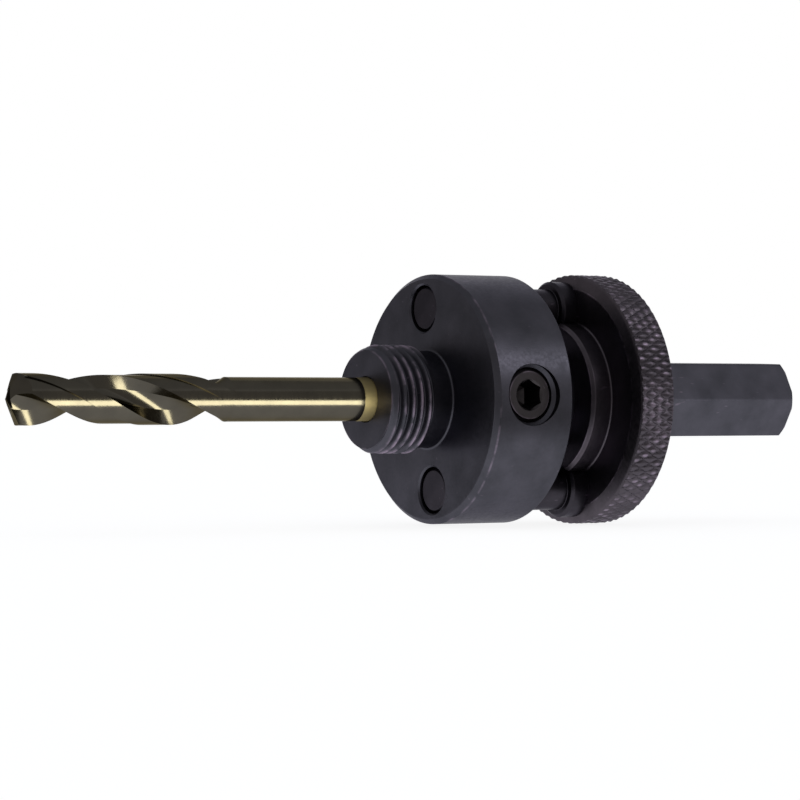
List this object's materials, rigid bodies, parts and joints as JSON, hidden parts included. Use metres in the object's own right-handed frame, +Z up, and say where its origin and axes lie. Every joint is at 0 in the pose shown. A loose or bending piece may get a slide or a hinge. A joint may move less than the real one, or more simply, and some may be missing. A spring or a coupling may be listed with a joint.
{
  "type": "hole saw arbor",
  "caption": "Arbor for hole saws: threaded nose with pilot drill, round flange, sliding knurled ring with drive pins, hexagonal shank.",
  "frame": {"origin": "centre of the flange's front face, where the hole saw seats, on the arbor's axis", "axes": "+X along the axis from the nose to the hexagonal shank, so the pilot drill points to -X; -Y close to the set screw's hole, which points 2.1 degrees above it; +Z up, close to the upper drive pin"},
  "size_m": [0.1326, 0.0375, 0.0374],
  "materials": {
    "arbor_steel": "black oxide on turned steel, lightly oiled",
    "ring_steel": "black oxide on turned and knurled steel",
    "pin_steel": "black oxide on ground pins",
    "screw_steel": "black oxide",
    "drill_steel": "gold oxide on ground high-speed steel",
    "grip_rubber": "moulded nitrile rubber",
    "spring_steel": "phosphated spring steel"
  },
  "bodies": {
    "arbor": {"arbor_body": "arbor_steel", "pilot_drill": "drill_steel", "snap_ring": "spring_steel"},
    "pin_ring": {"pin_ring": "ring_steel", "drive_pin_upper": "pin_steel", "drive_pin_lower": "pin_steel", "grip_ring": "grip_rubber"},
    "set_screw": {"set_screw": "screw_steel"}
  },
  "joints": [
    {"name": "pin_ring_slide", "type": "slide", "parent": "arbor", "child": "pin_ring", "axis": [-1, 0, 0], "range_m": [0, 0.008]},
    {"name": "set_screw_travel", "type": "slide", "parent": "arbor", "child": "set_screw", "axis": [0, -0.9993, 0.0366], "range_m": [0, 0.0013]}
  ]
}
